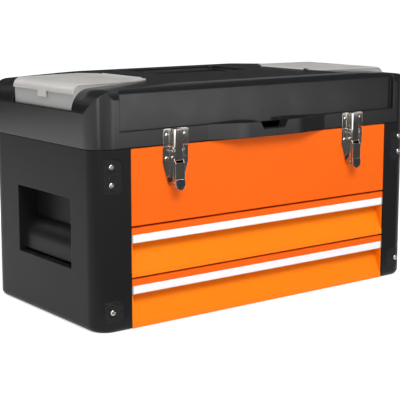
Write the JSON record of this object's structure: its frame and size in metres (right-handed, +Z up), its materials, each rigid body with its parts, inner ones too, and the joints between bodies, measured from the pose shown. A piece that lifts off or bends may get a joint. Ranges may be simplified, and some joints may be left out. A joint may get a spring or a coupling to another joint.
{
  "type": "portable tool box",
  "caption": "Portable tool box with sliding drawers, a hinged lid holding clear-topped organisers, a folding carry handle, draw latches and side hand holds.",
  "frame": {"origin": "on the ground, at the middle of the whole box's footprint, lift lip and hinge included", "axes": "+X along the front to the right, -Y out of the front, +Z up"},
  "size_m": [0.526, 0.2802, 0.2977],
  "materials": {
    "orange_paint": "semi-gloss powder coat",
    "black_plastic": "satin moulded",
    "rail_white": "gloss",
    "cap_grey": "satin",
    "bin_plastic": "gloss",
    "cover_plastic": "gloss, clouded clear",
    "latch_chrome": "bright plated",
    "zinc_steel": "zinc plated"
  },
  "bodies": {
    "cabinet": {"cabinet_shell": "orange_paint", "back_panel": "orange_paint", "front_panel": "orange_paint", "compartment_floor": "orange_paint", "side_casing_left": "black_plastic", "side_casing_right": "black_plastic", "casing_screws": "latch_chrome", "lower_outer_runner_left": "zinc_steel", "lower_outer_runner_right": "zinc_steel", "upper_outer_runner_left": "zinc_steel", "upper_outer_runner_right": "zinc_steel", "cabinet_hinge_leaf": "zinc_steel", "lid_hinge_pin": "zinc_steel", "latch_base_left": "latch_chrome", "latch_base_right": "latch_chrome", "lever_pin_left": "latch_chrome", "lever_pin_right": "latch_chrome", "base_rivets": "latch_chrome"},
    "lid": {"lid_shell": "black_plastic", "organiser_tray_left": "bin_plastic", "organiser_tray_right": "bin_plastic", "cover_pin_left": "zinc_steel", "cover_pin_right": "zinc_steel", "handle_pins": "zinc_steel", "lid_hinge_leaf": "zinc_steel", "latch_keeper_left": "latch_chrome", "latch_keeper_right": "latch_chrome", "keeper_rivets": "latch_chrome"},
    "upper_drawer": {"upper_drawer_front": "orange_paint", "upper_drawer_tray": "orange_paint", "upper_drawer_rail": "rail_white", "upper_rail_caps": "cap_grey", "upper_inner_runner_left": "zinc_steel", "upper_inner_runner_right": "zinc_steel"},
    "lower_drawer": {"lower_drawer_front": "orange_paint", "lower_drawer_tray": "orange_paint", "lower_drawer_rail": "rail_white", "lower_rail_caps": "cap_grey", "lower_inner_runner_left": "zinc_steel", "lower_inner_runner_right": "zinc_steel"},
    "lever_left": {"latch_lever_left": "latch_chrome", "hook_pin_left": "latch_chrome"},
    "lever_right": {"latch_lever_right": "latch_chrome", "hook_pin_right": "latch_chrome"},
    "hook_left": {"latch_hook_left": "latch_chrome"},
    "hook_right": {"latch_hook_right": "latch_chrome"},
    "cover_left": {"organiser_cover_left": "cover_plastic"},
    "cover_right": {"organiser_cover_right": "cover_plastic"},
    "handle": {"carry_handle": "black_plastic"}
  },
  "joints": [
    {"name": "lid_hinge", "type": "hinge", "parent": "cabinet", "child": "lid", "pos_m": [0, 0.1371, 0.2224], "axis": [-1, 0, 0], "range_deg": [0, 95]},
    {"name": "upper_drawer_slide", "type": "slide", "parent": "cabinet", "child": "upper_drawer", "axis": [0, -1, 0], "range_m": [0, 0.18]},
    {"name": "lower_drawer_slide", "type": "slide", "parent": "cabinet", "child": "lower_drawer", "axis": [0, -1, 0], "range_m": [0, 0.18]},
    {"name": "lever_left_pivot", "type": "hinge", "parent": "cabinet", "child": "lever_left", "pos_m": [-0.149, -0.1325, 0.2145], "axis": [-1, 0, 0], "range_deg": [0, 100]},
    {"name": "hook_left_pivot", "type": "hinge", "parent": "lever_left", "child": "hook_left", "pos_m": [-0.149, -0.1325, 0.2055], "axis": [1, 0, 0], "range_deg": [0, 100]},
    {"name": "cover_left_hinge", "type": "hinge", "parent": "lid", "child": "cover_left", "pos_m": [-0.1382, 0.0044, 0.2954], "axis": [0, 1, 0], "range_deg": [0, 100]},
    {"name": "lever_right_pivot", "type": "hinge", "parent": "cabinet", "child": "lever_right", "pos_m": [0.149, -0.1325, 0.2145], "axis": [-1, 0, 0], "range_deg": [0, 100]},
    {"name": "hook_right_pivot", "type": "hinge", "parent": "lever_right", "child": "hook_right", "pos_m": [0.149, -0.1325, 0.2055], "axis": [1, 0, 0], "range_deg": [0, 100]},
    {"name": "cover_right_hinge", "type": "hinge", "parent": "lid", "child": "cover_right", "pos_m": [0.1382, 0.0044, 0.2954], "axis": [0, -1, 0], "range_deg": [0, 100]},
    {"name": "handle_pivot", "type": "hinge", "parent": "lid", "child": "handle", "pos_m": [0, 0.0119, 0.2894], "axis": [1, 0, 0], "range_deg": [0, 90]}
  ],
  "couplings": [
    {"joint": "hook_left_pivot", "follows": "lever_left_pivot", "ratio": 1},
    {"joint": "hook_right_pivot", "follows": "lever_right_pivot", "ratio": 1}
  ]
}
